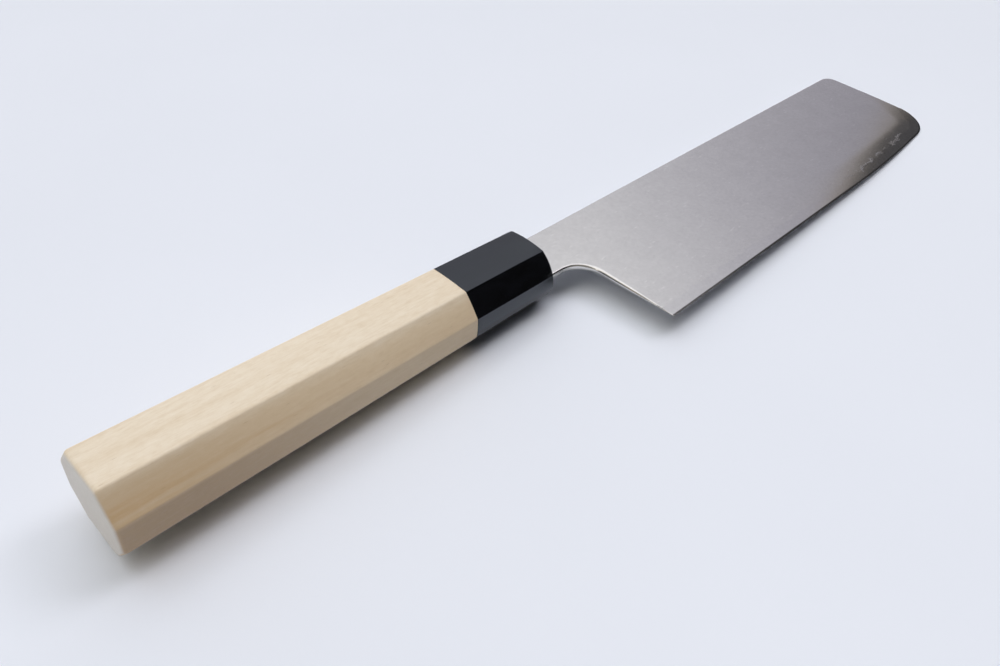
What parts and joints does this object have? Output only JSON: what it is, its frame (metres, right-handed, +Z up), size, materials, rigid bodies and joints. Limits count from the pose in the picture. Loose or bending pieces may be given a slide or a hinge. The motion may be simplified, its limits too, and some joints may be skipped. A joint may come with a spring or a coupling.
{
  "type": "nakiri kitchen knife",
  "caption": "Straight-edged vegetable knife with a tall laminated steel blade, a horn ferrule and a tapered octagonal wooden handle.",
  "frame": {"origin": "below the middle of the knife's box, at the height of the butt's lowest flat when the blade is level", "axes": "+X from the butt of the handle to the front of the blade, +Y from the edge to the spine, +Z up through the flat of the blade"},
  "size_m": [0.3024, 0.0526, 0.0213],
  "materials": {
    "core_steel": "fine satin, darker than the cladding",
    "cladding": "fine-grained satin with faint short hairlines",
    "horn": "polished black horn",
    "ho_wood": "bare, finely sanded, straight grain",
    "resin": "cast, unseen inside the handle",
    "seal": "filled flush with the ferrule's face"
  },
  "bodies": {
    "root": {"core_steel": "core_steel", "cladding_upper": "cladding", "cladding_lower": "cladding", "ferrule": "horn", "handle_body": "ho_wood", "tang_resin": "resin", "mouth_seal": "seal"}
  },
  "joints": []
}
